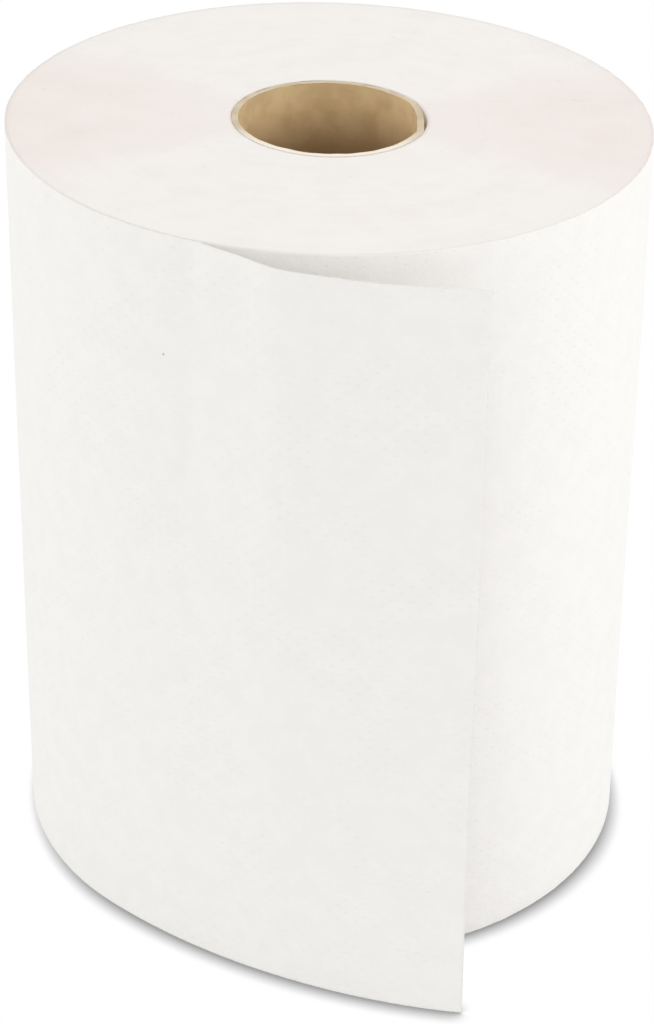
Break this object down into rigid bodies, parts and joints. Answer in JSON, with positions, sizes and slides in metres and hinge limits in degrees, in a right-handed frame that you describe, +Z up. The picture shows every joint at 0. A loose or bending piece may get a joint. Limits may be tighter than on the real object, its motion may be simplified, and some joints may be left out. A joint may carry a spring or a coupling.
{
  "type": "hard-wound paper towel roll",
  "caption": "White embossed paper towel web wound on a kraft chipboard core, standing on its end with the loose end curling away at the front.",
  "frame": {"origin": "on the core's axis at the roll's lower end face, which it stands on", "axes": "+Z up along the core's axis; the web's loose end is at the front, on the -Y side, and its free edge points towards +X"},
  "size_m": [0.1642, 0.1871, 0.203],
  "materials": {
    "white_paper": "matte",
    "kraft_board": "matte"
  },
  "bodies": {
    "root": {"towel_roll": "white_paper", "core_tube": "kraft_board"}
  },
  "joints": []
}
